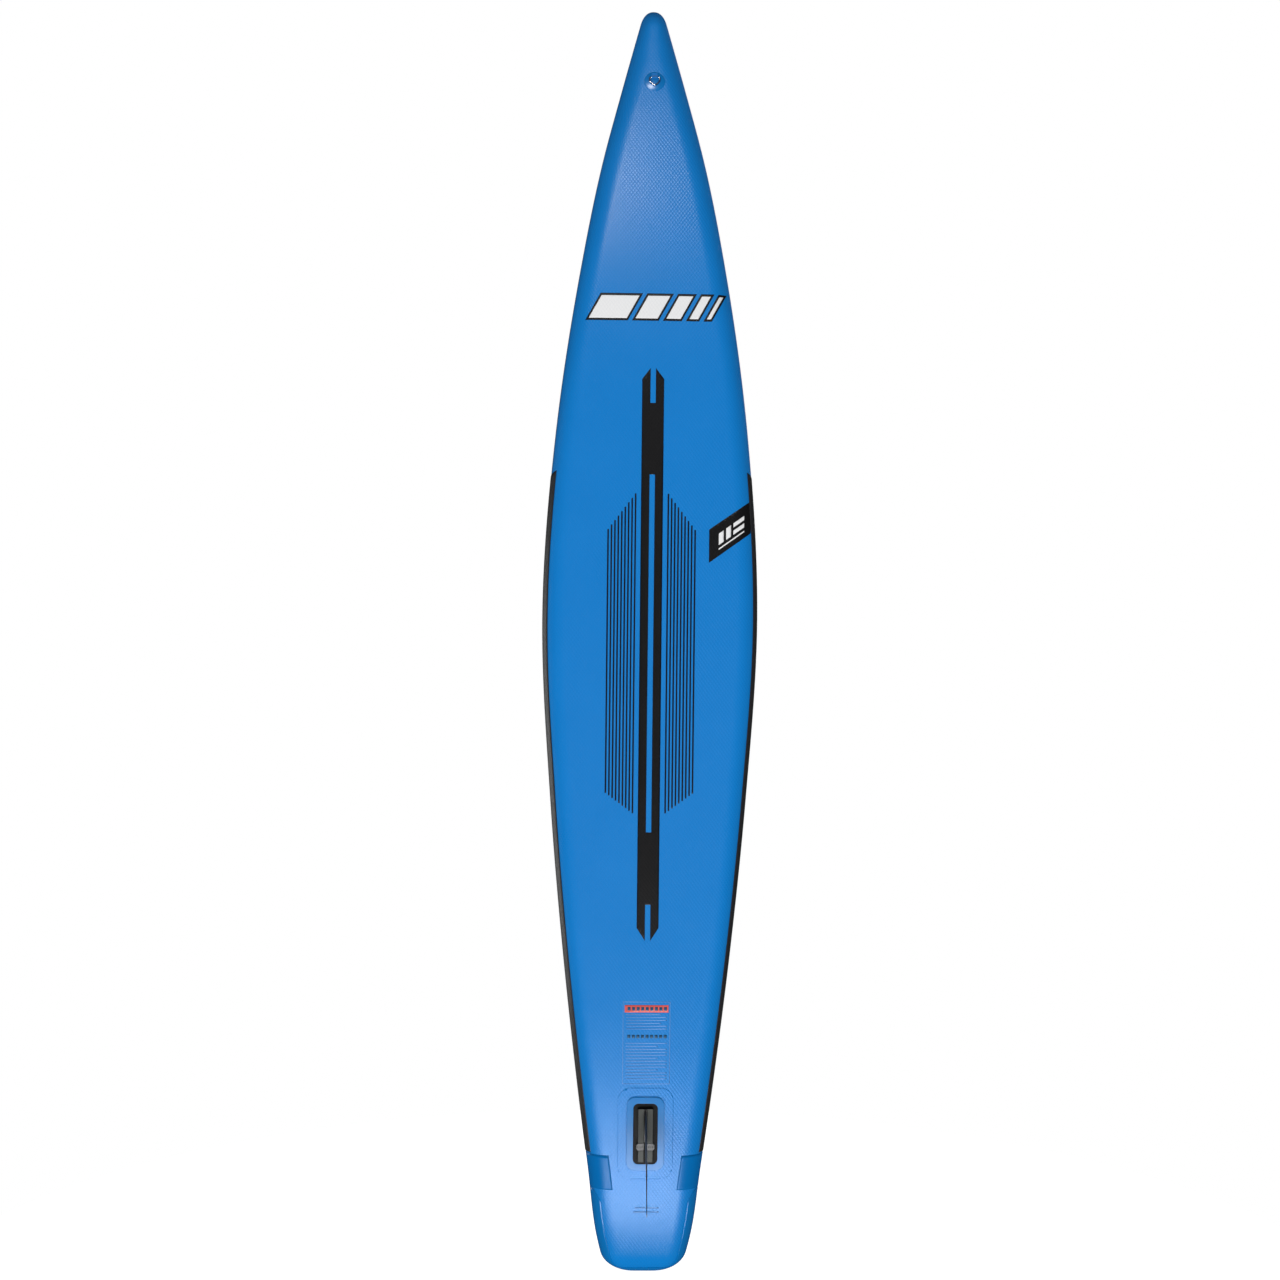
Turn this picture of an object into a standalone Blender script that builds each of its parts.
"""Inflatable racing paddleboard, standing nose up, built from its separate pieces.

Board axes: Z runs from the tail (0) to the nose, X across, the hull faces -Y and the deck +Y.
The world's origin is on the outer face of the deck pad, where a rack holds the board.
"""

import math

import bmesh
import bpy
import numpy as np
from mathutils import Matrix, Vector

HULL, DECK = -1, 1

# ---- the board's form, in metres ----
LENGTH = 4.267
WIDTH = 0.714
THICKNESS = 0.150
NOSE_ROCKER = 0.24
NOSE_ROCKER_LENGTH = 1.37
TAIL_ROCKER = 0.035
TAIL_ROCKER_LENGTH = 0.90
NOSE_ROUND, NOSE_ROUND_POWER = 0.050, 2.54
TAIL_ROUND, TAIL_ROUND_POWER = 0.075, 2.68
RAIL_SHARE = 0.92  # most of a narrow section that the rail's curve may take
# the outline's half width, as shares of the length and of half the width
OUTLINE_AT = (0, 0.03, 0.08, 0.15, 0.25, 0.37, 0.515, 0.65, 0.78, 0.87, 0.93, 1)
OUTLINE_HALF_WIDTH = (0.354, 0.444, 0.524, 0.635, 0.776, 0.909, 1, 0.902, 0.687, 0.483, 0.306, 0.091)

# ---- layers: heights above the moulded surface ----
GAP = 0.0004
SKIN = 0.0015
GLUED = 0.0010  # a glued PVC layer
SHEET = 0.0009  # a woven sheet of the core
CORE_GAP = 0.0012
PATCH_FLOOR = GAP
PATCH_TOP = GAP + GLUED

# ---- where the skins and walls meet, round the girth: 1 is the hull's flat edge, 2 the widest line ----
HULL_SEAM = 1.88
DECK_SEAM = 2.50
SEAM_GAP = 0.01
ROW_STEP = 0.14
TIP_ROWS = 6

# ---- core ----
CORE_FROM_TAIL = 0.10
CORE_FROM_NOSE = 0.29
THREAD = 0.006
THREAD_SHARES = (-0.75, -0.25, 0.25, 0.75)

# ---- rails and tail ----
BAND_FROM_TAIL = 0.41
BAND_FROM_NOSE = 1.60
BAND_HULL_EDGE = 1.56
BAND_DECK_EDGE = 2.44
BAND_SLANT = 0.44
BAND_FLOOR = 0.0006  # over the side wall, whose facets it bridges
WRAP_INNER_EDGE = 1.39
WRAP_OUTER_EDGE = 1.86
WRAP_TAIL_WIDTH = 0.022
TAIL_PATCH_FROM, TAIL_PATCH_TO = 0.290, 0.405
TAIL_PATCH_INNER_EDGE = 1.0
TAIL_PATCH_GAP = 0.003

# ---- D-rings ----
RING_PATCH_RADIUS = 0.035
RING_WIRE = 0.002
RING_HALF_WIDTH = 0.0165
RING_DROP = 0.031
RING_LEG_SHARE = 0.55  # how far down the straight legs reach
RING_BAR_CORNER, RING_SHOULDER_CORNER, RING_FOOT_CORNER = 0.0035, 0.007, 0.005
RING_CLEARANCE = 0.0004
RING_BAR_UP = 0.013
WEBBING = 0.0010
WEBBING_WIDTH = 0.020
WEBBING_LENGTH = 0.017
WEBBING_CLOSES = 3.2  # where the strap closes behind its loop, over the loop's radius
TOW_RING_FROM_NOSE = 0.278
LEASH_RING_FROM_TAIL = 0.118

# ---- fin box and fin, lengths along the box from its centre ----
FIN_BOX_FROM_TAIL = 0.4794
OPENING_WIDTH, OPENING_LENGTH, OPENING_CORNER = 0.081, 0.202, 0.017
COVER_RIM = 0.021
COVER = 0.0012
BASE_PATCH_RIM = 0.030
PLATE = 0.0020
PLATE_RIM = 0.013
PLATE_GAP = 0.0006
TRACK_FLOOR = 0.0026
FOOT_HALF_WIDTH, FOOT_HEIGHT = 0.0135, 0.0040
FOOT_CLEARANCE = 0.0004
RAIL_HALF_WIDTH, RAIL_LIP = 0.0250, 0.0060
FRONT_RAIL = (-0.0280, 0.0810)
REAR_RAIL = (-0.0910, -0.0530)
TRACK_STOP = 0.0050
TAB_REACH = 0.0300
TAB_THICKNESS = 0.0055
FIN_THICKNESS = 0.0088
FIN_DEPTH = 0.200
FIN_CHORD = 0.105
FIN_TIP_CHORD = 0.010
FIN_RAKE = 0.285
FIN_ROWS = 10
# the blade's section: share of the chord, and share of half its thickness
FIN_SECTION = ((0, 0), (0.1, 0.7), (0.3, 1), (0.65, 0.72), (1, 0.12))
FIN_TAPER = 0.62  # power of the chord's taper
FIN_SWEEP = 1.6  # power of the rake's curve
FIN_THINNING = 0.72  # share of the thickness lost towards the tip
FIN_END_CLEARANCE = 0.001
TAB_CLEARANCE = 0.0006
TAB_CHAMFER = 0.006

# ---- deck ----
PAD = 0.005
PAD_INSET = 0.012
TAIL_PAD_FROM_TAIL = 0.400
PAD_SPLIT = 0.870
PAD_JOINT = 0.012
PAD_FROM_NOSE = 1.55
KICK_BAR_UP = 0.050
KICK_BAR_WIDTH, KICK_BAR_HEIGHT = 0.045, 0.022
KICK_BAR_GAP = 0.0008  # over the pad, whose facets it bridges
RACK_SHARE = 0.363  # the rack's place, as a share of the length

# ---- carry handle ----
BALANCE_SHARE = 0.47
HANDLE_SPAN = 0.300
HANDLE_TAB = 0.050
HANDLE_RISE = 0.030
HANDLE_STRAP, HANDLE_STRAP_WIDTH = 0.0020, 0.038
GRIP_LENGTH, GRIP_WIDTH, GRIP_THICKNESS = 0.110, 0.048, 0.024
HANDLE_PATCH_LENGTH, HANDLE_PATCH_WIDTH = 0.090, 0.080
HANDLE_PATCH_CORNER = 0.020
GRIP_SLOT_CLEARANCE = 0.0006
STRAP_CLEARANCE = 0.004  # between the grip's ends and where the strap starts to fall
WINDOW_CLEARANCE, WINDOW_CORNER = 0.014, 0.030

# ---- bow bungee ----
BUNGEE_FROM_NOSE = 1.06
BUNGEE_SPAN = 0.340
BUNGEE_RAIL_INSET = 0.115
BUNGEE_CORD = 0.003
BUNGEE_TAIL = 0.016
BUNGEE_KNOT, BUNGEE_KNOT_LENGTH = 1.6, 0.010  # the knot's radius over the cord's, and its length
BUNGEE_CLEARANCE = 0.0014
BUNGEE_OVER = 0.10  # share of the upper cord that each side of its hump over the lower one takes
BUNGEE_HUMP_CLEARANCE = 0.0008
BUNGEE_PATCH_RADIUS = 0.026
BUNGEE_PATCH_LIFT = 0.0004  # off-centre patches are flat over a surface that isn't quite
BUNGEE_LOOP_WIDTH = 0.016

# ---- valve ----
VALVE_FROM_TAIL = 0.270
VALVE_FLANGE_RADIUS, VALVE_FLANGE = 0.031, 0.0035
VALVE_TUBE_RADIUS, VALVE_BORE = 0.0220, 0.0175
VALVE_DEPTH = 0.040
VALVE_HOLE_CLEARANCE, VALVE_HOLE_REACH = 0.0010, 0.012
VALVE_EDGE = 0.0015
VALVE_PORTS, VALVE_PORT_RADIUS = 4, 0.0042
STEM_CLEARANCE = 0.0005
NUT_GAP = 0.0008
VALVE_NUT_RADIUS, VALVE_NUT = 0.0300, 0.0060
WEB_DEPTH, WEB = 0.0160, 0.0030
STEM_RADIUS, BUTTON_RADIUS, BUTTON = 0.0030, 0.0090, 0.0020
BUTTON_DEPTH = 0.0010
SEAT_RADIUS, SEAT = 0.0205, 0.0020
SEAL = 0.0015
SPRING_RADIUS, SPRING_WIRE, SPRING_TURNS = 0.0058, 0.0006, 4
CAP_RADIUS, CAP_RISE, CAP_WALL, CAP_EDGE = 0.0235, 0.0130, 0.0018, 0.003
CAP_GAP, CAP_SEAL = 0.0008, 0.0022
TETHER_WIDTH, TETHER, TETHER_REACH = 0.0060, 0.0012, 0.018
TETHER_GAP = 0.0006


# ---------------------------------------------------------------- the board's form

def closure(distance, length, power):
    """How far a rounded end has opened, 0 at its tip and 1 at its length."""
    t = min(max(1 - distance / length, 0), 1)
    return (1 - t**power) ** (1 / power)


def outline_share(share):
    """A smooth curve through the outline's stations."""
    tangents = np.gradient(OUTLINE_HALF_WIDTH, OUTLINE_AT)
    i = int(np.clip(np.searchsorted(OUTLINE_AT, share) - 1, 0, len(OUTLINE_AT) - 2))
    span = OUTLINE_AT[i + 1] - OUTLINE_AT[i]
    t = (share - OUTLINE_AT[i]) / span
    start = (2 * t**3 - 3 * t**2 + 1) * OUTLINE_HALF_WIDTH[i] + (t**3 - 2 * t**2 + t) * span * tangents[i]
    end = (3 * t**2 - 2 * t**3) * OUTLINE_HALF_WIDTH[i + 1] + (t**3 - t**2) * span * tangents[i + 1]
    return float(start + end)


def half_width(z):
    ends = closure(z, TAIL_ROUND, TAIL_ROUND_POWER) * closure(LENGTH - z, NOSE_ROUND, NOSE_ROUND_POWER)
    return WIDTH / 2 * outline_share(z / LENGTH) * ends


def half_height(z):
    return THICKNESS / 2 * closure(z, THICKNESS / 2, 2) * closure(LENGTH - z, THICKNESS / 2, 2)


def rocker(z):
    nose = max((z - LENGTH + NOSE_ROCKER_LENGTH) / NOSE_ROCKER_LENGTH, 0)
    tail = max((TAIL_ROCKER_LENGTH - z) / TAIL_ROCKER_LENGTH, 0)
    return NOSE_ROCKER * nose**2 + TAIL_ROCKER * tail**2


def rail_width(z):
    return min(half_height(z), RAIL_SHARE * half_width(z))


def flat_half_width(z):
    return half_width(z) - rail_width(z)


def girth_point(z, girth):
    """A point of the surface: girth 0 is the hull's centre line, 1 to 3 the rail, 4 the deck's centre line."""
    g = abs(girth)
    flat, rail, high = flat_half_width(z), rail_width(z), half_height(z)
    if g <= 1:
        x, y = flat * g, -high
    elif g <= 3:
        turn = math.radians(90 * (g - 1))
        x, y = flat + rail * math.sin(turn), -high * math.cos(turn)
    else:
        x, y = flat * (4 - g), high
    return Vector((math.copysign(x, girth), y + rocker(z), z))


def girth_normal(z, girth):
    if z <= 0 or z >= LENGTH:
        return Vector((0, 0, math.copysign(1, z - LENGTH / 2)))
    step, dz = 1e-3, 1e-5
    across = girth_point(z, girth + step) - girth_point(z, girth - step)
    if abs(girth) > 3.99 or abs(girth) < 0.01:
        across = Vector((math.copysign(1, 2 - abs(girth)), 0, 0))
    along = girth_point(min(z + dz, LENGTH), girth) - girth_point(max(z - dz, 0), girth)
    return across.cross(along).normalized()


def face_height(side, x, z):
    """The hull's or the deck's surface over a point of the plan."""
    over = max(abs(x) - flat_half_width(z), 0) / rail_width(z)
    return rocker(z) + side * half_height(z) * math.sqrt(max(1 - over**2, 0))


def face_normal(side, x, z):
    step = 1e-4
    slope_x = (face_height(side, x + step, z) - face_height(side, x - step, z)) / (2 * step)
    slope_z = (face_height(side, x, z + step) - face_height(side, x, z - step)) / (2 * step)
    return (Vector((-slope_x, 1, -slope_z)) * side).normalized()


def surface_frame(side, x, z, turn=0.0):
    """A frame on the surface: its Z points out of the board and its Y towards the nose."""
    normal = face_normal(side, 0, z)
    along = Vector((0, 0, 1))
    along = (along - normal * along.dot(normal)).normalized()
    across = along.cross(normal)
    axes = Matrix((across, along, normal)).transposed().to_4x4()
    return Matrix.Translation((x, face_height(side, 0, z), z)) @ axes @ Matrix.Rotation(turn, 4, "Z")


def board_rows():
    """The stations that every layer of the board shares, so that their facets stay parallel."""
    tip = [THICKNESS / 2 * (1 - math.cos(math.pi / 2 * k / TIP_ROWS)) for k in range(TIP_ROWS + 1)]
    count = round((LENGTH - THICKNESS) / ROW_STEP)
    middle = [tip[-1] + (LENGTH - THICKNESS) * k / count for k in range(1, count)]
    return tip + middle + [LENGTH - z for z in reversed(tip)]


def girths_between(low, high, sign=1):
    """The lines round one rail that a layer needs, with those of the skins and walls under it."""
    shared = (1, 1.25, 1.5, 1.75, HULL_SEAM, 2, 2.25, DECK_SEAM, 2.75, 3)
    lines = {low, high, *(g for g in shared if low + 0.01 < g < high - 0.01)}
    return sorted(sign * g for g in lines)


ROWS = board_rows()


# ---------------------------------------------------------------- making objects

def clear_scene():
    for item in list(bpy.data.objects):
        bpy.data.objects.remove(item)


def make_material(name, color, roughness, metallic=0.0):
    material = bpy.data.materials.new(name)
    material.use_nodes = True
    shader = material.node_tree.nodes["Principled BSDF"]
    shader.inputs["Base Color"].default_value = (*color, 1)
    shader.inputs["Roughness"].default_value = roughness
    shader.inputs["Metallic"].default_value = metallic
    return material


clear_scene()
board = bpy.data.collections.new("paddleboard")
cutters = bpy.data.collections.new("cutters")
for collection in (board, cutters):
    bpy.context.scene.collection.children.link(collection)

BLUE = make_material("blue_pvc", (0.012, 0.205, 0.63), 0.35)
BLACK = make_material("black_pvc", (0.02, 0.02, 0.022), 0.5)
GREY = make_material("grey_pvc", (0.30, 0.31, 0.33), 0.5)
FABRIC = make_material("woven_polyester", (0.75, 0.75, 0.72), 0.9)
FOAM = make_material("eva_foam", (0.055, 0.057, 0.06), 0.85)
PLASTIC = make_material("black_plastic", (0.018, 0.018, 0.02), 0.3)
STEEL = make_material("stainless_steel", (0.62, 0.62, 0.64), 0.2, 1.0)
RUBBER = make_material("rubber", (0.02, 0.02, 0.02), 0.7)
WEB_FABRIC = make_material("webbing", (0.02, 0.02, 0.022), 0.8)

rack_z = RACK_SHARE * LENGTH
frame = bpy.data.objects.new("board_frame", None)
frame.location = (0, -face_height(DECK, 0, rack_z) - GAP - PAD, -rack_z)
board.objects.link(frame)


def holder(name, matrix):
    """An empty that carries the pieces of one fitting."""
    empty = bpy.data.objects.new(name, None)
    empty.parent = frame
    empty.matrix_local = matrix
    board.objects.link(empty)
    return empty


def add(name, data, material, parent=frame, smooth=30, collection=board):
    item = bpy.data.objects.new(name, data)
    item.parent = parent
    collection.objects.link(item)
    data.materials.append(material)
    if isinstance(data, bpy.types.Mesh):
        data.shade_smooth()
        data.set_sharp_from_angle(angle=math.radians(smooth))
    return item


def to_mesh(name, bm, recalc=False):
    if recalc:
        bmesh.ops.recalc_face_normals(bm, faces=bm.faces)
    data = bpy.data.meshes.new(name)
    bm.to_mesh(data)
    bm.free()
    return data


def solidify(item, thickness):
    """Gives an open surface its thickness, outwards."""
    shell = item.modifiers.new("thickness", "SOLIDIFY")
    shell.thickness = thickness
    shell.offset = 1
    shell.use_even_offset = True
    return item


def boolean(item, other, operation="DIFFERENCE"):
    step = item.modifiers.new("cut", "BOOLEAN")
    step.object = other
    step.operation = operation
    other.hide_render = True
    other.display_type = "WIRE"


def surface(name, rows, columns, point, keep=None):
    """An open grid through point(z, column), its faces pointing out of the board."""
    bm = bmesh.new()
    grid = [[bm.verts.new(point(z, column)) for column in columns] for z in rows]
    for i in range(len(rows) - 1):
        for j in range(len(columns) - 1):
            middle = (rows[i] + rows[i + 1]) / 2, (columns[j] + columns[j + 1]) / 2
            if keep is None or keep(*middle):
                bm.faces.new((grid[i][j], grid[i][j + 1], grid[i + 1][j + 1], grid[i + 1][j]))
    bmesh.ops.delete(bm, geom=[v for v in bm.verts if not v.link_faces], context="VERTS")
    bmesh.ops.remove_doubles(bm, verts=bm.verts, dist=1e-5)
    bmesh.ops.dissolve_degenerate(bm, edges=bm.edges, dist=1e-6)
    return to_mesh(name, bm)


def girth_panel(name, material, rows, columns, lift, thickness, keep=None):
    """A layer of the board between two girths."""

    def point(z, girth):
        return girth_point(z, girth) + girth_normal(z, girth) * lift

    return solidify(add(name, surface(name, rows, columns, point, keep), material), thickness)


def rows_between(low, high, extra=()):
    inside = [z for z in ROWS if low + 0.001 < z < high - 0.001]
    return sorted({low, high, *inside, *(z for z in extra if low < z < high)})


def draped(name, material, side, rows, reach, lift, thickness, shares=(-1, -0.5, 0, 0.5, 1)):
    """A sheet laid on the hull or the deck; reach(z) is its half width."""

    def point(z, share):
        x = -side * share * reach(z)
        return Vector((x, face_height(side, x, z), z)) + face_normal(side, x, z) * lift

    return solidify(add(name, surface(name, rows, shares, point), material), thickness)


def rounded_reach(centre, length, width, corner):
    """The half width, row by row, of a rectangle with round corners."""

    def reach(z):
        into = max(corner - (length / 2 - abs(z - centre)), 0)
        return width / 2 - corner + math.sqrt(max(corner**2 - into**2, 0))

    return reach


def corner_rows(centre, length, corner, count=5):
    """The rows that a rounded rectangle's corners need."""
    steps = [corner * (1 - math.sin(math.pi / 2 * k / count)) for k in range(count + 1)]
    return [centre + s * (length / 2 - step) for s in (-1, 1) for step in steps]


def prism(bm, outline, low, high):
    """Extrudes a plan outline in XY from low to high."""
    base = [bm.verts.new((x, y, low)) for x, y in outline]
    top = [bm.verts.new((x, y, high)) for x, y in outline]
    bm.faces.new(reversed(base))
    bm.faces.new(top)
    for i in range(len(outline)):
        j = (i + 1) % len(outline)
        bm.faces.new((base[i], base[j], top[j], top[i]))


def rounded_rectangle(width, length, corner, steps=5):
    """An anticlockwise outline in XY, with arcs at its corners."""
    points = []
    for k, (sx, sy) in enumerate(((1, 1), (-1, 1), (-1, -1), (1, -1))):
        for step in range(steps + 1):
            turn = math.radians(90 * (k + step / steps))
            points.append((
                sx * (width / 2 - corner) + corner * math.cos(turn),
                sy * (length / 2 - corner) + corner * math.sin(turn),
            ))
    return points


def block(name, material, parent, outline, low, high, collection=board):
    bm = bmesh.new()
    prism(bm, outline, low, high)
    return add(name, to_mesh(name, bm), material, parent, collection=collection)


def box(name, material, parent, x, y, z, collection=board):
    """A box between two values on each axis."""
    outline = ((x[0], y[0]), (x[1], y[0]), (x[1], y[1]), (x[0], y[1]))
    return block(name, material, parent, outline, z[0], z[1], collection)


def disc(name, material, parent, radius, low, high, segments=28, collection=board):
    bm = bmesh.new()
    place = Matrix.Translation((0, 0, (low + high) / 2))
    bmesh.ops.create_cone(
        bm, cap_ends=True, segments=segments, radius1=radius, radius2=radius, depth=high - low, matrix=place
    )
    return add(name, to_mesh(name, bm), material, parent, collection=collection)


def turned(name, material, parent, profile, steps=32, collection=board):
    """A closed ring turned from a profile of (radius, height) points, outer side top to bottom first."""
    bm = bmesh.new()
    verts = [bm.verts.new((r, 0, h)) for r, h in profile]
    for i in range(len(verts)):
        bm.edges.new((verts[i], verts[(i + 1) % len(verts)]))
    item = add(name, to_mesh(name, bm), material, parent, collection=collection)
    screw = item.modifiers.new("turn", "SCREW")
    screw.steps = steps
    screw.render_steps = steps
    screw.use_merge_vertices = True
    screw.merge_threshold = 0.00001
    return item


def tube(name, material, parent, points, radius, closed=False, thick=None):
    """A round wire or cord through its points."""
    data = bpy.data.curves.new(name, "CURVE")
    data.dimensions = "3D"
    data.bevel_depth = radius
    data.bevel_resolution = 2
    data.use_fill_caps = True
    spline = data.splines.new("POLY")
    spline.points.add(len(points) - 1)
    for i, point in enumerate(points):
        spline.points[i].co = (*point, 1)
        spline.points[i].radius = thick[i] if thick else 1
    spline.use_cyclic_u = closed
    return add(name, data, material, parent)


def ribbon(name, material, parent, path, width, thickness):
    """A strap: a path in the parent's YZ plane, widened across X; going down Y, it thickens downwards."""
    bm = bmesh.new()
    edges = [[bm.verts.new((x, y, z)) for y, z in path] for x in (-width / 2, width / 2)]
    for i in range(len(path) - 1):
        bm.faces.new((edges[0][i], edges[1][i], edges[1][i + 1], edges[0][i + 1]))
    return solidify(add(name, to_mesh(name, bm), material, parent), thickness)


# ---------------------------------------------------------------- core, skins and walls

def make_core():
    """Two woven sheets held apart by threads; each thread stands for the many around it."""
    low, high = CORE_FROM_TAIL, LENGTH - CORE_FROM_NOSE
    common = rows_between(low, high)
    rows = set(common)
    thread_rows = []
    for i in range(0, len(common) - 1, 2):
        centre = (common[i] + common[i + 1]) / 2
        thread_rows.append(centre)
        rows |= {centre - THREAD / 2, centre + THREAD / 2}
    rows = sorted(rows)
    lines = [(-1, 0)] + [(share, s * THREAD / 2) for share in THREAD_SHARES for s in (-1, 1)] + [(1, 0)]
    outer = -SKIN - CORE_GAP
    bm = bmesh.new()

    def layer(side, lift):
        grid = []
        for z in rows:
            flat = flat_half_width(z)
            row = []
            for share, shift in lines:
                x = share * flat + shift
                here = Vector((x, face_height(side, x, z), z))
                row.append(bm.verts.new(here + face_normal(side, 0, z) * lift))
            grid.append(row)
        return grid

    def has_thread(i, j):
        z = (rows[i] + rows[i + 1]) / 2
        x = lines[j][0] * flat_half_width(z)
        near_valve = math.hypot(x, z - VALVE_FROM_TAIL) < VALVE_NUT_RADIUS + 2 * THREAD
        return j % 2 == 1 and any(abs(z - t) < 1e-6 for t in thread_rows) and not near_valve

    faces_out = {side: layer(side, outer) for side in (HULL, DECK)}
    faces_in = {side: layer(side, outer - SHEET) for side in (HULL, DECK)}

    def quad(a, b, c, d):
        bm.faces.new((a, b, c, d))

    last_row, last_line = len(rows) - 1, len(lines) - 1
    for side in (HULL, DECK):
        out, inner = faces_out[side], faces_in[side]
        for i in range(last_row):
            for j in range(last_line):
                quad(out[i][j], out[i][j + 1], out[i + 1][j + 1], out[i + 1][j])
                if not has_thread(i, j):
                    quad(inner[i][j], inner[i][j + 1], inner[i + 1][j + 1], inner[i + 1][j])
        for i in range(last_row):
            for j in (0, last_line):
                quad(out[i][j], out[i + 1][j], inner[i + 1][j], inner[i][j])
        for j in range(last_line):
            for i in (0, last_row):
                quad(out[i][j], out[i][j + 1], inner[i][j + 1], inner[i][j])
    for i in range(last_row):
        for j in range(last_line):
            if has_thread(i, j):
                corners = ((i, j), (i, j + 1), (i + 1, j + 1), (i + 1, j))
                for a, b in zip(corners, corners[1:] + corners[:1]):
                    below, above = faces_in[HULL], faces_in[DECK]
                    quad(below[a[0]][a[1]], below[b[0]][b[1]], above[b[0]][b[1]], above[a[0]][a[1]])
    core = add("drop_stitch_core", to_mesh("drop_stitch_core", bm, recalc=True), FABRIC)
    boolean(core, valve_hole("core_valve_hole"))
    return core


def valve_hole(name):
    radius, reach = VALVE_TUBE_RADIUS + VALVE_HOLE_CLEARANCE, VALVE_HOLE_REACH
    return disc(name, FABRIC, valve_holder, radius, -reach, reach, collection=cutters)


def make_skins():
    rail = girths_between(1, HULL_SEAM)
    hull = [-g for g in reversed(rail)] + [0] + rail
    girth_panel("hull_skin", BLUE, ROWS, hull, -SKIN, SKIN)
    skin_rows = ROWS[1:-1]
    deck = [*girths_between(DECK_SEAM + SEAM_GAP, 3), 4]

    def deck_point(z, column):
        girth = column if column <= 4 else column - 8
        return girth_point(z, girth) - girth_normal(z, girth) * SKIN

    columns = deck + [8 - g for g in reversed(deck[:-1])]
    skin = add("deck_skin", surface("deck_skin", skin_rows, columns, deck_point), GREY)
    solidify(skin, SKIN)
    boolean(skin, valve_hole("skin_valve_hole"))
    for name, sign in (("side_wall_left", -1), ("side_wall_right", 1)):
        columns = girths_between(HULL_SEAM + SEAM_GAP, DECK_SEAM, sign)
        girth_panel(name, BLACK, skin_rows, columns, -SKIN, SKIN)


def make_rail_bands():
    """The black strips; their nose ends are cut on a slant, longest at the hull's edge."""
    low, high = BAND_FROM_TAIL, LENGTH - BAND_FROM_NOSE
    turned_up = Matrix(((0, 0, 1, 0), (1, 0, 0, 0), (0, 1, 0, 0), (0, 0, 0, 1)))
    edge = girth_point(high, BAND_HULL_EDGE).y
    near, far, tall = edge - THICKNESS, edge + 2 * THICKNESS, high + THICKNESS
    ends = [(y, high - BAND_SLANT * (y - edge)) for y in (near, far)]
    outline = (*ends, (far, tall), (near, tall))
    across = holder("band_end_frame", turned_up)
    end = block("band_end", BLACK, across, outline, -WIDTH, WIDTH, cutters)
    for name, sign in (("rail_band_left", -1), ("rail_band_right", 1)):
        columns = girths_between(BAND_HULL_EDGE, BAND_DECK_EDGE, sign)
        band = girth_panel(name, BLACK, rows_between(low, high), columns, BAND_FLOOR, GLUED)
        boolean(band, end)


def tail_patch_inner_edge():
    """The flat's edge, or on a narrow board the part of the rail that clears the fin's base patch."""
    clear = OPENING_WIDTH / 2 + COVER_RIM + BASE_PATCH_RIM + TAIL_PATCH_GAP
    spare = (clear - flat_half_width(TAIL_PATCH_FROM)) / rail_width(TAIL_PATCH_FROM)
    return TAIL_PATCH_INNER_EDGE + math.degrees(math.asin(min(max(spare, 0), 1))) / 90


def make_tail():
    columns = girths_between(1, WRAP_OUTER_EDGE) + [WRAP_INNER_EDGE]
    columns = sorted([-g for g in columns] + [0] + columns)
    rows = rows_between(0, TAIL_PATCH_FROM - TAIL_PATCH_GAP)

    def on_wrap(z, girth):
        return abs(girth) > WRAP_INNER_EDGE or z < WRAP_TAIL_WIDTH

    girth_panel("tail_wrap", BLUE, rows, columns, PATCH_FLOOR, GLUED, keep=on_wrap)
    inner = tail_patch_inner_edge()
    for name, sign in (("tail_patch_left", -1), ("tail_patch_right", 1)):
        columns = girths_between(inner, WRAP_OUTER_EDGE, sign)
        rows = rows_between(TAIL_PATCH_FROM, TAIL_PATCH_TO)
        girth_panel(name, BLUE, rows, columns, PATCH_FLOOR, GLUED)


# ---------------------------------------------------------------- D-rings

def ring_height():
    """The ring's bar above the surface, clear of the webbing under it."""
    return PATCH_TOP + GAP + WEBBING + RING_CLEARANCE + RING_WIRE


def webbing_path(bar, radius):
    """The strap's inner face: along the patch, round a hole of this radius and back over itself."""
    height = PATCH_TOP + GAP + WEBBING
    end = bar + WEBBING_LENGTH
    turns = [math.radians(-90 - 30 * k) for k in range(7)]
    loop = [(bar + radius * math.cos(t), height + radius + radius * math.sin(t)) for t in turns]
    back = height + GAP
    return [(end, height), *loop, (bar + WEBBING_CLOSES * radius, back), (end, back)]


def ring_points():
    """A ring with a straight bar, two legs and a pointed foot, with round corners."""
    shoulder = -RING_LEG_SHARE * RING_DROP
    corners = (
        (-RING_HALF_WIDTH, 0, RING_BAR_CORNER),
        (-RING_HALF_WIDTH, shoulder, RING_SHOULDER_CORNER),
        (0, -RING_DROP, RING_FOOT_CORNER),
        (RING_HALF_WIDTH, shoulder, RING_SHOULDER_CORNER),
        (RING_HALF_WIDTH, 0, RING_BAR_CORNER),
    )
    points = []
    for i, (x, y, cut) in enumerate(corners):
        here = Vector((x, y))
        before = Vector(corners[i - 1][:2])
        after = Vector(corners[(i + 1) % len(corners)][:2])
        start = here + (before - here).normalized() * cut
        end = here + (after - here).normalized() * cut
        for t in (0, 0.33, 0.67, 1):
            p = start.lerp(here, t).lerp(here.lerp(end, t), t)
            points.append((p.x, p.y, 0))
    return points


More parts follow.
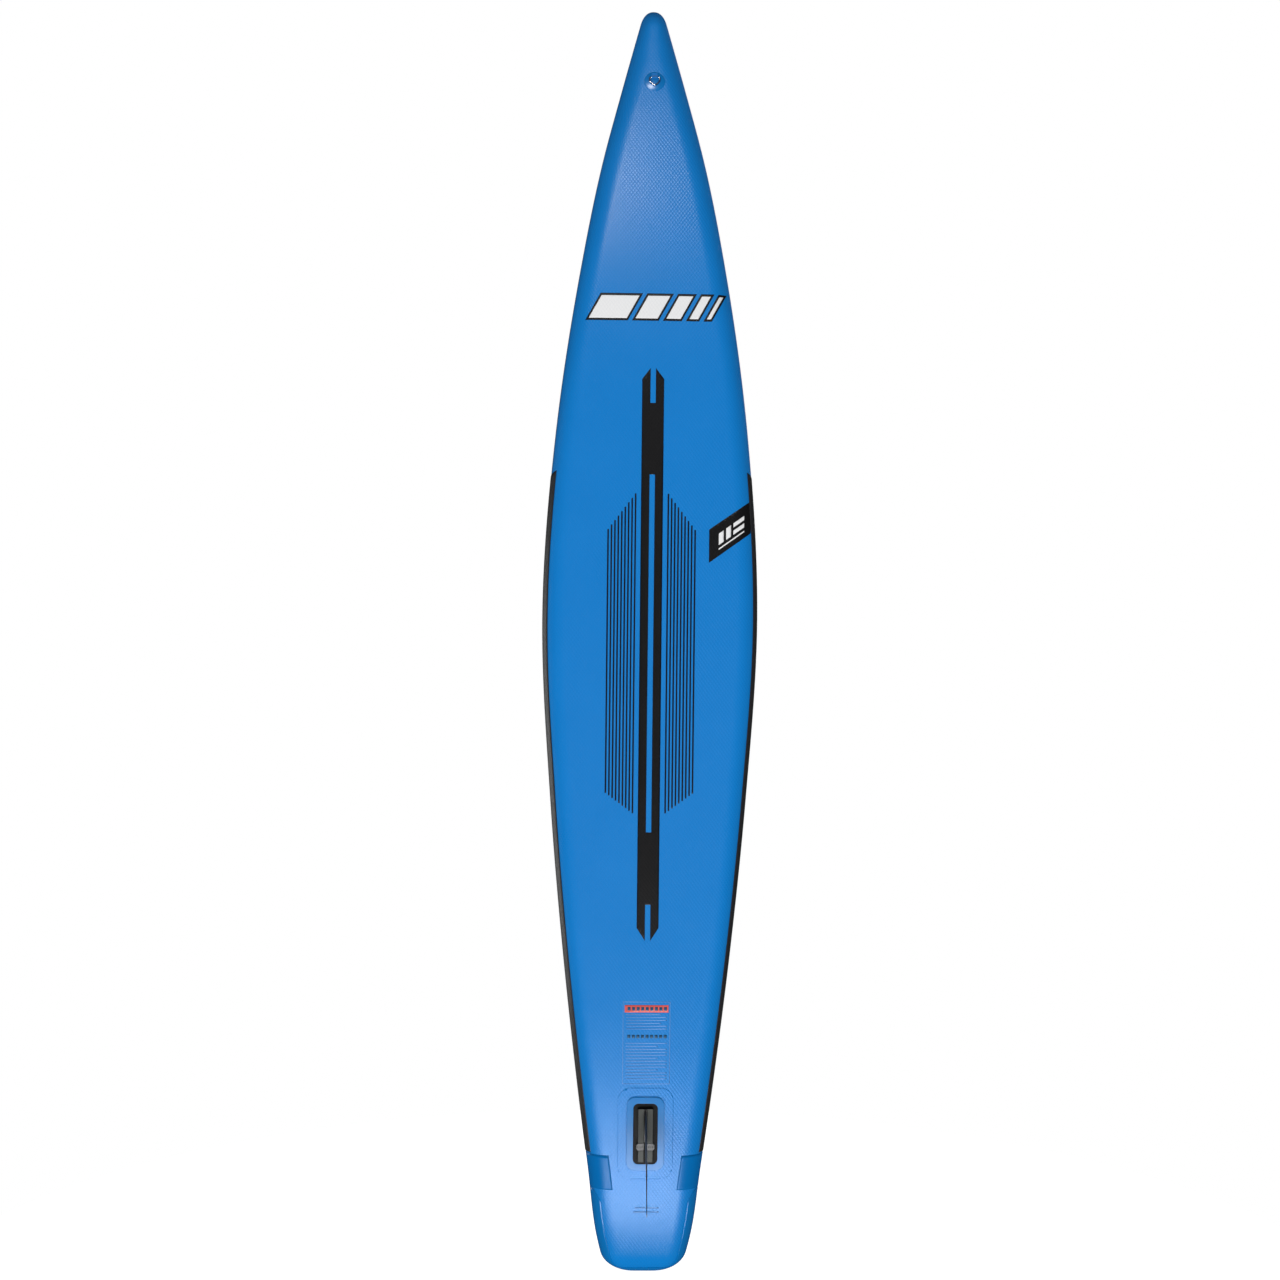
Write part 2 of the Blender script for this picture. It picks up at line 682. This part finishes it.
def make_ring_set(prefix, side, z):
    base = holder(prefix + "_mount", surface_frame(side, 0, z))
    disc(prefix + "_patch", BLUE if side == HULL else BLACK, base, RING_PATCH_RADIUS, PATCH_FLOOR, PATCH_TOP)
    path = webbing_path(RING_BAR_UP, RING_WIRE + RING_CLEARANCE)
    ribbon(prefix + "_webbing", BLUE if side == HULL else WEB_FABRIC, base, path, WEBBING_WIDTH, WEBBING)
    pivot = holder(
        prefix + "_pivot", surface_frame(side, 0, z) @ Matrix.Translation((0, RING_BAR_UP, ring_height()))
    )
    tube(prefix + "_ring", STEEL, pivot, ring_points(), RING_WIRE, closed=True)


# ---------------------------------------------------------------- fin box and fin

PLATE_FLOOR = PATCH_TOP + PLATE_GAP
PLATE_TOP = PLATE_FLOOR + PLATE
COVER_FLOOR = PLATE_TOP + GAP
TRACK_TOP = PLATE_TOP + TRACK_FLOOR
FOOT_FLOOR = TRACK_TOP + FOOT_CLEARANCE
FOOT_TOP = FOOT_FLOOR + FOOT_HEIGHT
LIP_FLOOR = FOOT_TOP + FOOT_CLEARANCE
LIP_TOP = LIP_FLOOR + RAIL_LIP


def make_fin_patches():
    rim = COVER_RIM + BASE_PATCH_RIM
    length, width, corner = OPENING_LENGTH + 2 * rim, OPENING_WIDTH + 2 * rim, OPENING_CORNER + rim / 2
    centre = FIN_BOX_FROM_TAIL
    rows = rows_between(centre - length / 2, centre + length / 2, corner_rows(centre, length, corner))
    reach = rounded_reach(centre, length, width, corner)
    draped("fin_base_patch", BLUE, HULL, rows, reach, PATCH_FLOOR, GLUED)
    outer = rounded_rectangle(
        OPENING_WIDTH + 2 * COVER_RIM, OPENING_LENGTH + 2 * COVER_RIM, OPENING_CORNER + COVER_RIM / 2
    )
    cover = block("fin_box_cover", BLUE, fin_holder, outer, COVER_FLOOR, COVER_FLOOR + COVER)
    opening = rounded_rectangle(OPENING_WIDTH, OPENING_LENGTH, OPENING_CORNER)
    low, high = COVER_FLOOR - COVER, COVER_FLOOR + 3 * COVER
    hole = block("cover_opening", BLUE, fin_holder, opening, low, high, cutters)
    boolean(cover, hole)


def make_fin_box():
    """A plate with two pairs of undercut rails, and a stop at the nose end of the track."""
    width, length = OPENING_WIDTH + 2 * PLATE_RIM, OPENING_LENGTH + 2 * PLATE_RIM
    outline = rounded_rectangle(width, length, OPENING_CORNER)
    plate = block("fin_box", PLASTIC, fin_holder, outline, PLATE_FLOOR, PLATE_TOP)
    slot = FIN_THICKNESS / 2 + FOOT_CLEARANCE
    undercut = FOOT_HALF_WIDTH + FOOT_CLEARANCE
    beyond = 2 * TRACK_STOP
    for low, high in (FRONT_RAIL, REAR_RAIL):
        stop = TRACK_STOP if high > 0 else 0
        body = box(
            "rail_block", PLASTIC, fin_holder, (-RAIL_HALF_WIDTH, RAIL_HALF_WIDTH), (low, high + stop),
            (PLATE_TOP - PLATE / 4, LIP_TOP), cutters,
        )
        run = low - beyond, high if high > 0 else high + beyond
        for reach, floor, top in ((undercut, TRACK_TOP, LIP_FLOOR), (slot, TRACK_TOP, LIP_TOP + beyond)):
            groove = box("rail_groove", PLASTIC, fin_holder, (-reach, reach), run, (floor, top), cutters)
            boolean(body, groove)
        boolean(plate, body, "UNION")


def make_fin_tabs():
    """Each tab grips the blade from one side, in the gap between the pairs of rails."""
    inner = FIN_THICKNESS / 2 + TAB_CLEARANCE
    low, high = REAR_RAIL[1] + TAB_CLEARANCE, FRONT_RAIL[0] - TAB_CLEARANCE
    start = TAB_REACH - TAB_CHAMFER
    for name, sign in (("fin_tab_left", -1), ("fin_tab_right", 1)):
        outline = [
            (inner, low), (start, low), (TAB_REACH, low + TAB_CHAMFER),
            (TAB_REACH, high - TAB_CHAMFER), (start, high), (inner, high),
        ]
        points = [(sign * x, y) for x, y in outline]
        if sign < 0:
            points.reverse()
        block(name, PLASTIC, fin_holder, points, LIP_FLOOR, LIP_FLOOR + TAB_THICKNESS)


def make_fin():
    """A raked blade with a foil section, on a flat foot that slides in the track."""
    front = FRONT_RAIL[1] - FIN_END_CLEARANCE
    bm = bmesh.new()
    loops = []
    for k in range(FIN_ROWS + 1):
        depth = math.sin(math.pi / 2 * k / FIN_ROWS)
        chord = FIN_TIP_CHORD + (FIN_CHORD - FIN_TIP_CHORD) * (1 - depth) ** FIN_TAPER
        nose = front - FIN_RAKE * depth**FIN_SWEEP
        thick = FIN_THICKNESS / 2 * (1 - FIN_THINNING * depth)
        height = FOOT_FLOOR + FOOT_HEIGHT / 4 + FIN_DEPTH * depth
        right = [(thick * s, nose - chord * c) for c, s in FIN_SECTION]
        left = [(-x, y) for x, y in reversed(right) if x > 0]
        loops.append([bm.verts.new((x, y, height)) for x, y in right + left])
    for lower, upper in zip(loops, loops[1:]):
        for i in range(len(lower)):
            j = (i + 1) % len(lower)
            bm.faces.new((lower[i], lower[j], upper[j], upper[i]))
    bm.faces.new(loops[0])
    bm.faces.new(loops[-1])
    blade = add("fin_blade", to_mesh("fin_blade", bm, recalc=True), PLASTIC, fin_holder, collection=cutters)
    outline = rounded_rectangle(2 * FOOT_HALF_WIDTH, FIN_CHORD, 0.003, 3)
    outline = [(x, y + front - FIN_CHORD / 2) for x, y in outline]
    fin = block("fin", PLASTIC, fin_holder, outline, FOOT_FLOOR, FOOT_TOP)
    boolean(fin, blade, "UNION")


# ---------------------------------------------------------------- deck

def pad_reach(z):
    return flat_half_width(z) - PAD_INSET


def handle_length():
    return HANDLE_SPAN + HANDLE_PATCH_LENGTH - HANDLE_TAB + 2 * WINDOW_CLEARANCE


def make_pads():
    low, high = PAD_SPLIT + PAD_JOINT / 2, LENGTH - PAD_FROM_NOSE
    pad = draped("deck_pad", FOAM, DECK, rows_between(low, high), pad_reach, GAP, PAD, (-1, 0, 1))
    window = rounded_rectangle(HANDLE_PATCH_WIDTH + 2 * WINDOW_CLEARANCE, handle_length(), WINDOW_CORNER)
    boolean(pad, block("handle_window", FOAM, handle_holder, window, -2 * PAD, 4 * PAD, cutters))
    low, high = TAIL_PAD_FROM_TAIL, PAD_SPLIT - PAD_JOINT / 2
    draped("tail_pad", FOAM, DECK, rows_between(low, high), pad_reach, GAP, PAD, (-1, 0, 1))
    z = TAIL_PAD_FROM_TAIL + KICK_BAR_UP
    base = holder("kick_bar_mount", surface_frame(DECK, 0, z))
    half = KICK_BAR_WIDTH / 2
    reach = pad_reach(z - half) - PAD_INSET
    floor = GAP + PAD + KICK_BAR_GAP
    arc = [math.radians(180 * k / 10) for k in range(11)]
    profile = [(half * math.cos(t), floor + KICK_BAR_HEIGHT * math.sin(t)) for t in arc]
    bm = bmesh.new()
    ends = [[bm.verts.new((x, y, h)) for y, h in profile] for x in (-reach, reach)]
    for i in range(len(profile)):
        j = (i + 1) % len(profile)
        bm.faces.new((ends[0][i], ends[1][i], ends[1][j], ends[0][j]))
    for loop in ends:
        bm.faces.new(loop)
    add("kick_bar", to_mesh("kick_bar", bm, recalc=True), FOAM, base)


def make_handle():
    centre = BALANCE_SHARE * LENGTH
    for name, sign in (("handle_patch_rear", -1), ("handle_patch_front", 1)):
        middle = centre + sign * (HANDLE_SPAN - HANDLE_TAB) / 2
        low, high = middle - HANDLE_PATCH_LENGTH / 2, middle + HANDLE_PATCH_LENGTH / 2
        rows = rows_between(low, high, corner_rows(middle, HANDLE_PATCH_LENGTH, HANDLE_PATCH_CORNER))
        reach = rounded_reach(middle, HANDLE_PATCH_LENGTH, HANDLE_PATCH_WIDTH, HANDLE_PATCH_CORNER)
        draped(name, BLACK, DECK, rows, reach, PATCH_FLOOR, GLUED, (-1, 1))
    floor = PATCH_TOP + GAP
    top = floor + HANDLE_RISE
    half, foot, flat = HANDLE_SPAN / 2, HANDLE_SPAN / 2 - HANDLE_TAB, GRIP_LENGTH / 2 + STRAP_CLEARANCE
    arm = [(half, floor)]
    for t in (0, 0.2, 0.4, 0.6, 0.8, 1):
        arm.append((foot + (flat - foot) * t, floor + HANDLE_RISE * (3 * t**2 - 2 * t**3)))
    path = [(-y, z) for y, z in arm] + list(reversed(arm))
    ribbon("handle_strap", WEB_FABRIC, handle_holder, path, HANDLE_STRAP_WIDTH, HANDLE_STRAP)
    middle = top + HANDLE_STRAP / 2
    outline = rounded_rectangle(GRIP_WIDTH, GRIP_THICKNESS, 0.45 * GRIP_THICKNESS)
    slot = (HANDLE_STRAP_WIDTH / 2 + GRIP_SLOT_CLEARANCE, HANDLE_STRAP / 2 + GRIP_SLOT_CLEARANCE)
    lying = holder(
        "handle_grip_mount",
        handle_place @ Matrix.Translation((0, 0, middle)) @ Matrix.Rotation(math.pi / 2, 4, "X"),
    )
    grip = block("handle_grip", FOAM, lying, outline, -GRIP_LENGTH / 2, GRIP_LENGTH / 2)
    run = -GRIP_LENGTH, GRIP_LENGTH
    hole = box("grip_slot", FOAM, lying, (-slot[0], slot[0]), (-slot[1], slot[1]), run, cutters)
    boolean(grip, hole)


def make_bungee():
    """Two shock cords cross between four webbing loops, each turned towards its opposite."""
    low = LENGTH - BUNGEE_FROM_NOSE
    high = low + BUNGEE_SPAN
    number = 0
    frames = {}
    for z in (low, high):
        for sign in (-1, 1):
            number += 1
            x = sign * (half_width(z) - BUNGEE_RAIL_INSET)
            other_z = high if z == low else low
            other_x = -sign * (half_width(other_z) - BUNGEE_RAIL_INSET)
            turn = math.atan2(other_x - x, other_z - z)
            place = surface_frame(DECK, x, z, turn)
            base = holder(f"bungee_mount_{number}", place @ Matrix.Rotation(math.pi / 2, 4, "Z"))
            frames[number] = place
            floor, top = PATCH_FLOOR + BUNGEE_PATCH_LIFT, PATCH_TOP + BUNGEE_PATCH_LIFT
            disc(f"bungee_patch_{number}", BLACK, base, BUNGEE_PATCH_RADIUS, floor, top, 20)
            ribbon(f"bungee_loop_{number}", WEB_FABRIC, base, loop_path(), BUNGEE_LOOP_WIDTH, WEBBING)
    height = PATCH_TOP + BUNGEE_PATCH_LIFT + GAP + WEBBING + BUNGEE_CLEARANCE + BUNGEE_CORD
    for name, start, end, lift in (("bungee_cord_1", 1, 4, 0), ("bungee_cord_2", 2, 3, 1)):
        ends = [frames[n] @ Vector((0, 0, height)) for n in (start, end)]
        run = (ends[1] - ends[0]).normalized()
        normal = face_normal(DECK, 0, (low + high) / 2)
        tails = [ends[0] - run * BUNGEE_TAIL, ends[1] + run * BUNGEE_TAIL]
        crossing = abs(ends[0].x) / (abs(ends[0].x) + abs(ends[1].x))
        top = crossing - 0.3 * BUNGEE_OVER, crossing + 0.3 * BUNGEE_OVER
        over = [0, crossing - BUNGEE_OVER, *top, crossing + BUNGEE_OVER, 1]
        rise = [0, 0, 1, 1, 0, 0]
        knot = [run * BUNGEE_KNOT_LENGTH * share for share in (0.2, 0.6, 1)]
        points = [*(tails[0] - step for step in reversed(knot)), tails[0]]
        for t, r in zip(over, rise):
            hump = normal * r * lift * (2 * BUNGEE_CORD + BUNGEE_HUMP_CLEARANCE)
            points.append(ends[0].lerp(ends[1], t) + hump)
        points += [tails[1], *(tails[1] + step for step in knot)]
        knot_sizes = [0.6, BUNGEE_KNOT, BUNGEE_KNOT]
        thick = knot_sizes + [1] * (len(over) + 2) + knot_sizes[::-1]
        tube(name, RUBBER, frame, points, BUNGEE_CORD, thick=thick)


def loop_path():
    return [(y, z + BUNGEE_PATCH_LIFT) for y, z in webbing_path(0, BUNGEE_CORD + BUNGEE_CLEARANCE)]


# ---------------------------------------------------------------- valve

def make_valve():
    base = valve_holder
    flange_floor = GAP
    flange_top = flange_floor + VALVE_FLANGE
    tube_foot = -VALVE_DEPTH
    guide = STEM_RADIUS + STEM_CLEARANCE
    turned("valve_body", GREY, base, [
        (VALVE_BORE, flange_top), (VALVE_FLANGE_RADIUS - VALVE_EDGE, flange_top),
        (VALVE_FLANGE_RADIUS, flange_top - VALVE_EDGE), (VALVE_FLANGE_RADIUS, flange_floor),
        (VALVE_TUBE_RADIUS, flange_floor), (VALVE_TUBE_RADIUS, tube_foot),
        (VALVE_BORE, tube_foot), (VALVE_BORE, -WEB_DEPTH), (guide, -WEB_DEPTH),
        (guide, -WEB_DEPTH + WEB), (VALVE_BORE, -WEB_DEPTH + WEB),
    ])
    body = bpy.data.objects["valve_body"]
    for k in range(VALVE_PORTS):
        turn = 2 * math.pi * (k + 0.5) / VALVE_PORTS
        ring = (VALVE_BORE + STEM_RADIUS) / 2
        low, high = -WEB_DEPTH - WEB, -WEB_DEPTH + 2 * WEB
        port = disc(f"valve_port_{k}", GREY, base, VALVE_PORT_RADIUS, low, high, 12, cutters)
        port.location = (ring * math.cos(turn), ring * math.sin(turn), 0)
        boolean(body, port)
    nut_top = -SKIN - CORE_GAP - SHEET - NUT_GAP
    hole = VALVE_TUBE_RADIUS + GAP
    turned("valve_nut", GREY, base, [
        (hole, nut_top), (VALVE_NUT_RADIUS, nut_top), (VALVE_NUT_RADIUS, nut_top - VALVE_NUT),
        (hole, nut_top - VALVE_NUT),
    ])
    slide = holder("valve_plunger_slide", valve_place)
    button_top = -BUTTON_DEPTH
    seat_top = tube_foot - SEAL - 2 * GAP
    disc_profile = [
        (0, button_top), (BUTTON_RADIUS, button_top), (BUTTON_RADIUS, button_top - BUTTON),
        (STEM_RADIUS, button_top - BUTTON), (STEM_RADIUS, seat_top), (SEAT_RADIUS, seat_top),
        (SEAT_RADIUS, seat_top - SEAT), (0, seat_top - SEAT),
    ]
    turned_solid("valve_plunger", GREY, slide, disc_profile)
    hole = STEM_RADIUS + GAP
    turned("valve_seal", RUBBER, slide, [
        (hole, tube_foot - GAP), (SEAT_RADIUS, tube_foot - GAP), (SEAT_RADIUS, tube_foot - GAP - SEAL),
        (hole, tube_foot - GAP - SEAL),
    ])
    low = -WEB_DEPTH + WEB + SPRING_WIRE + GAP
    high = button_top - BUTTON - SPRING_WIRE - GAP
    count = SPRING_TURNS * 12
    coil = []
    for k in range(count + 1):
        turn = 2 * math.pi * SPRING_TURNS * k / count
        height = low + (high - low) * k / count
        coil.append((SPRING_RADIUS * math.cos(turn), SPRING_RADIUS * math.sin(turn), height))
    tube("valve_spring", STEEL, base, coil, SPRING_WIRE)
    cap_floor = flange_top + CAP_GAP
    inner, outer, top = CAP_RADIUS - CAP_WALL, CAP_RADIUS, cap_floor + CAP_RISE
    turned_solid("valve_cap", GREY, base, [
        (0, top), (outer - CAP_EDGE, top), (outer, top - CAP_EDGE), (outer, cap_floor),
        (inner, cap_floor), (inner, top - CAP_WALL), (0, top - CAP_WALL),
    ])
    turned("valve_cap_seal", RUBBER, base, [
        (VALVE_BORE, cap_floor + CAP_SEAL), (inner - GAP, cap_floor + CAP_SEAL), (inner - GAP, cap_floor),
        (VALVE_BORE, cap_floor),
    ])
    start, inside = VALVE_FLANGE_RADIUS + TETHER + TETHER_GAP, CAP_RADIUS + TETHER + TETHER_GAP
    path = [
        (start + TETHER_REACH, GAP + TETHER), (start, GAP + TETHER), (start, flange_top + 0.15 * CAP_RISE),
        (inside, flange_top + 0.38 * CAP_RISE), (inside, flange_top + 0.85 * CAP_RISE),
    ]
    ribbon("valve_tether", RUBBER, base, path, TETHER_WIDTH, TETHER)


def turned_solid(name, material, parent, profile, steps=32):
    """A solid turned from a profile that starts and ends on its axis."""
    bm = bmesh.new()
    verts = [bm.verts.new((r, 0, h)) for r, h in profile]
    for a, b in zip(verts, verts[1:]):
        bm.edges.new((a, b))
    item = add(name, to_mesh(name, bm), material, parent)
    screw = item.modifiers.new("turn", "SCREW")
    screw.steps = steps
    screw.render_steps = steps
    screw.use_merge_vertices = True
    screw.merge_threshold = 0.00001
    return item


valve_place = surface_frame(DECK, 0, VALVE_FROM_TAIL)
handle_place = surface_frame(DECK, 0, BALANCE_SHARE * LENGTH)
valve_holder = holder("valve_mount", valve_place)
handle_holder = holder("handle_mount", handle_place)
fin_holder = holder("fin_mount", surface_frame(HULL, 0, FIN_BOX_FROM_TAIL))

make_core()
make_skins()
make_rail_bands()
make_tail()
make_ring_set("tow", HULL, LENGTH - TOW_RING_FROM_NOSE)
make_ring_set("leash", DECK, LEASH_RING_FROM_TAIL)
make_fin_patches()
make_fin_box()
make_fin_tabs()
make_fin()
make_pads()
make_handle()
make_bungee()
make_valve()
